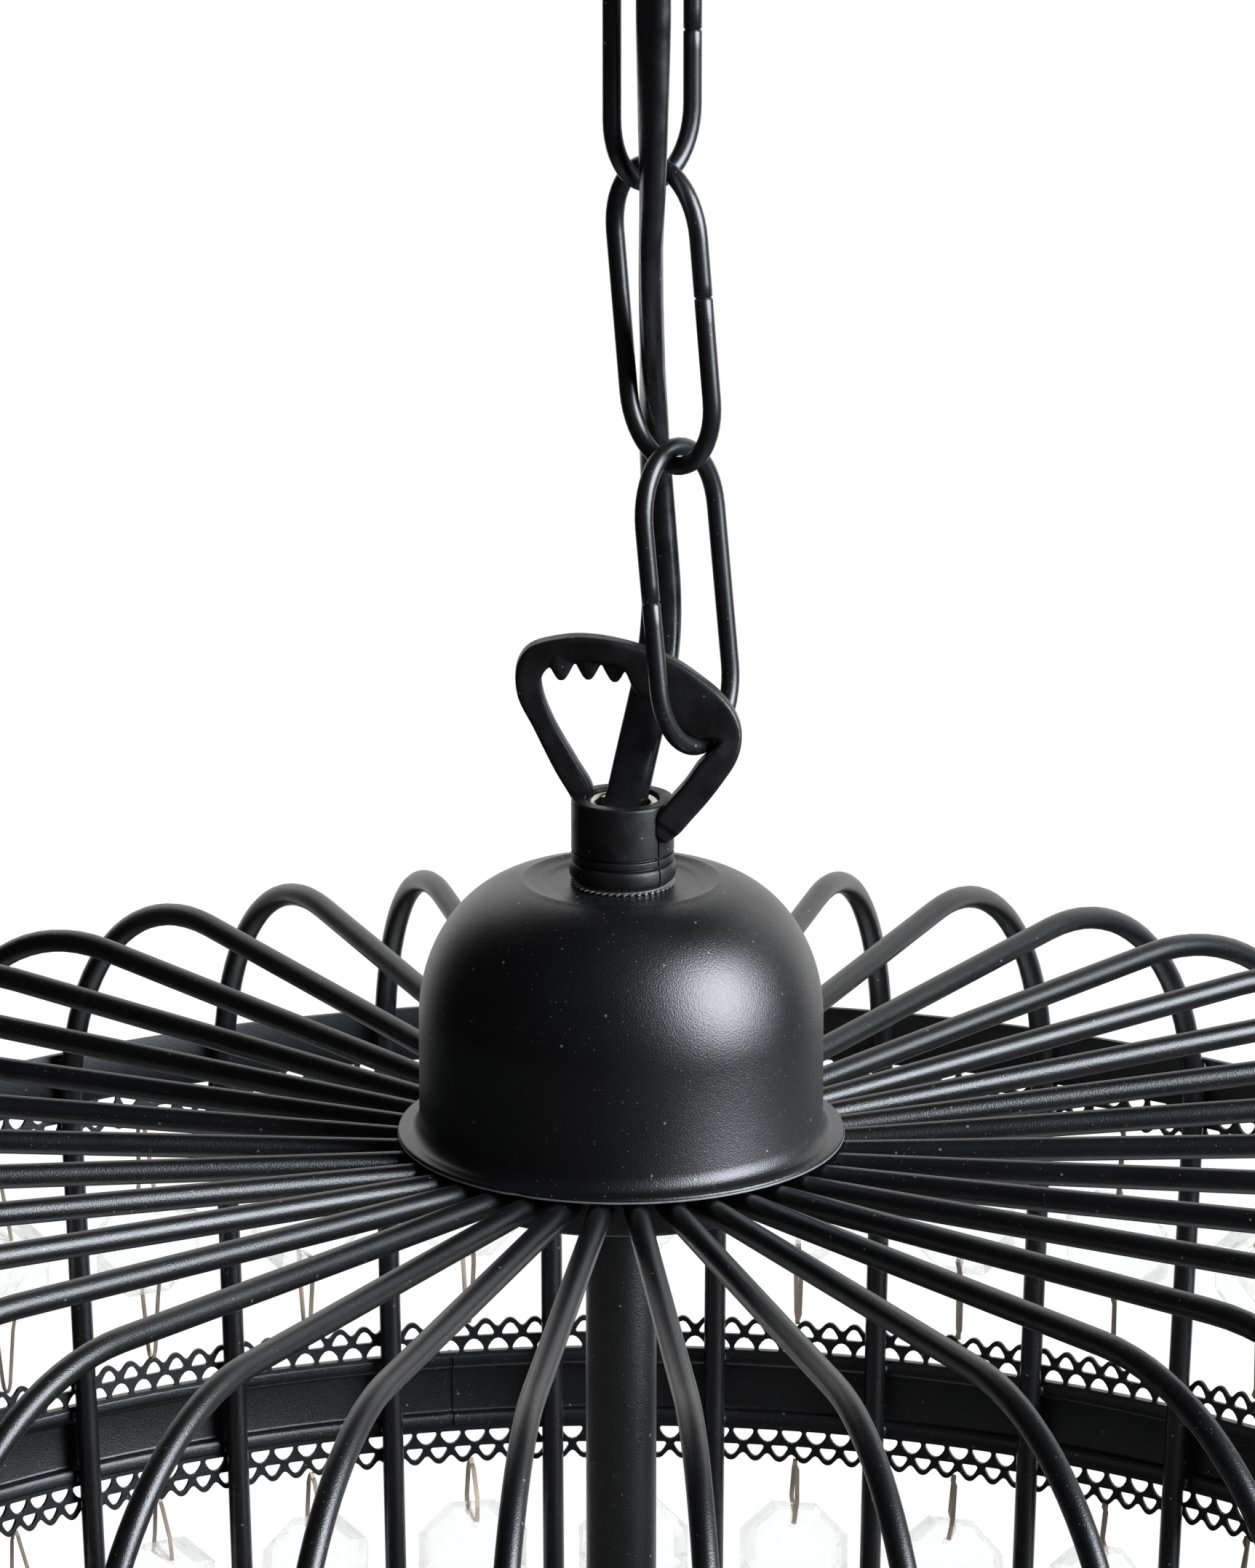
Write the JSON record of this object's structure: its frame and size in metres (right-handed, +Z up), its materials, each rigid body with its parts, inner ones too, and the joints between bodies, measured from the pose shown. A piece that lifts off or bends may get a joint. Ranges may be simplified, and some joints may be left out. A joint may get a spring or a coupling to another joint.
{
  "type": "chandelier",
  "caption": "Round drum chandelier of bent black steel rods and bands hung with clear octagonal crystals, under a bell cap, with a looped cord grip, chain and flex to a ceiling canopy.",
  "frame": {"origin": "middle of the ceiling face of the mounting bar, on the canopy's axis", "axes": "+Z up into the ceiling, -Z down the chain to the lamp; +X to the right and -Y towards the viewer in the picture"},
  "size_m": [0.369, 0.369, 0.4369],
  "materials": {
    "black_steel": "satin black powder coat with a fine grain",
    "black_plastic": "moulded black plastic with a soft sheen",
    "black_flex": "smooth black flat flex sheath",
    "zinc_steel": "zinc-plated steel",
    "crystal": "clear cut crystal",
    "ceramic": "glazed off-white insert"
  },
  "bodies": {
    "canopy": {"mounting_bar": "zinc_steel", "canopy_cup": "black_steel", "canopy_hook": "black_steel", "hook_nut": "black_steel", "cable_grommet": "black_plastic", "flex_1": "black_flex"},
    "link_1": {"chain_link_1": "black_steel", "flex_2": "black_flex"},
    "link_2": {"chain_link_2": "black_steel", "flex_3": "black_flex"},
    "link_3": {"chain_link_3": "black_steel", "flex_4": "black_flex"},
    "lamp": {"cord_grip": "black_plastic", "threaded_nipple": "zinc_steel", "bell_cap": "black_steel", "hub_nut": "zinc_steel", "cage_frame": "black_steel", "top_band": "black_steel", "mid_band": "black_steel", "bottom_band": "black_steel", "centre_tube": "black_steel", "lampholder_cap": "black_plastic", "lampholder_skirt": "black_plastic", "lampholder_core": "ceramic", "crystal_string_01": "crystal", "crystal_string_02": "crystal", "crystal_string_03": "crystal", "crystal_string_04": "crystal", "crystal_string_05": "crystal", "crystal_string_06": "crystal", "crystal_string_07": "crystal", "crystal_string_08": "crystal", "crystal_string_09": "crystal", "crystal_string_10": "crystal", "crystal_string_11": "crystal", "crystal_string_12": "crystal", "crystal_string_13": "crystal", "crystal_string_14": "crystal", "crystal_string_15": "crystal", "crystal_string_16": "crystal", "crystal_string_17": "crystal", "crystal_string_18": "crystal", "crystal_string_19": "crystal", "crystal_string_20": "crystal", "crystal_string_21": "crystal", "crystal_string_22": "crystal", "crystal_string_23": "crystal", "crystal_string_24": "crystal", "crystal_string_25": "crystal", "crystal_string_26": "crystal", "crystal_string_27": "crystal", "crystal_string_28": "crystal", "crystal_string_29": "crystal", "crystal_string_30": "crystal", "crystal_string_31": "crystal", "crystal_string_32": "crystal", "crystal_string_33": "crystal", "crystal_string_34": "crystal", "crystal_string_35": "crystal", "crystal_string_36": "crystal"}
  },
  "joints": [
    {"name": "hook_link_1", "type": "hinge", "parent": "canopy", "child": "link_1", "pos_m": [0, 0, -0.054], "axis": [0.7193, -0.6947, 0], "range_deg": [-25, 25], "deforming": ["flex_1"]},
    {"name": "link_1_link_2", "type": "hinge", "parent": "link_1", "child": "link_2", "pos_m": [0, 0, -0.0998], "axis": [0.6947, 0.7193, 0], "range_deg": [-25, 25], "deforming": ["flex_2"]},
    {"name": "link_2_link_3", "type": "hinge", "parent": "link_2", "child": "link_3", "pos_m": [0.00379, -0.00161, -0.14592], "axis": [0.7159, -0.6932, 0.0831], "range_deg": [-25, 25], "deforming": ["flex_3"]},
    {"name": "link_3_lamp", "type": "hinge", "parent": "link_3", "child": "lamp", "pos_m": [0.0079, -0.0037, -0.19199], "axis": [-0.6284, -0.7776, -0.0208], "range_deg": [-25, 25], "deforming": ["flex_4"]}
  ]
}
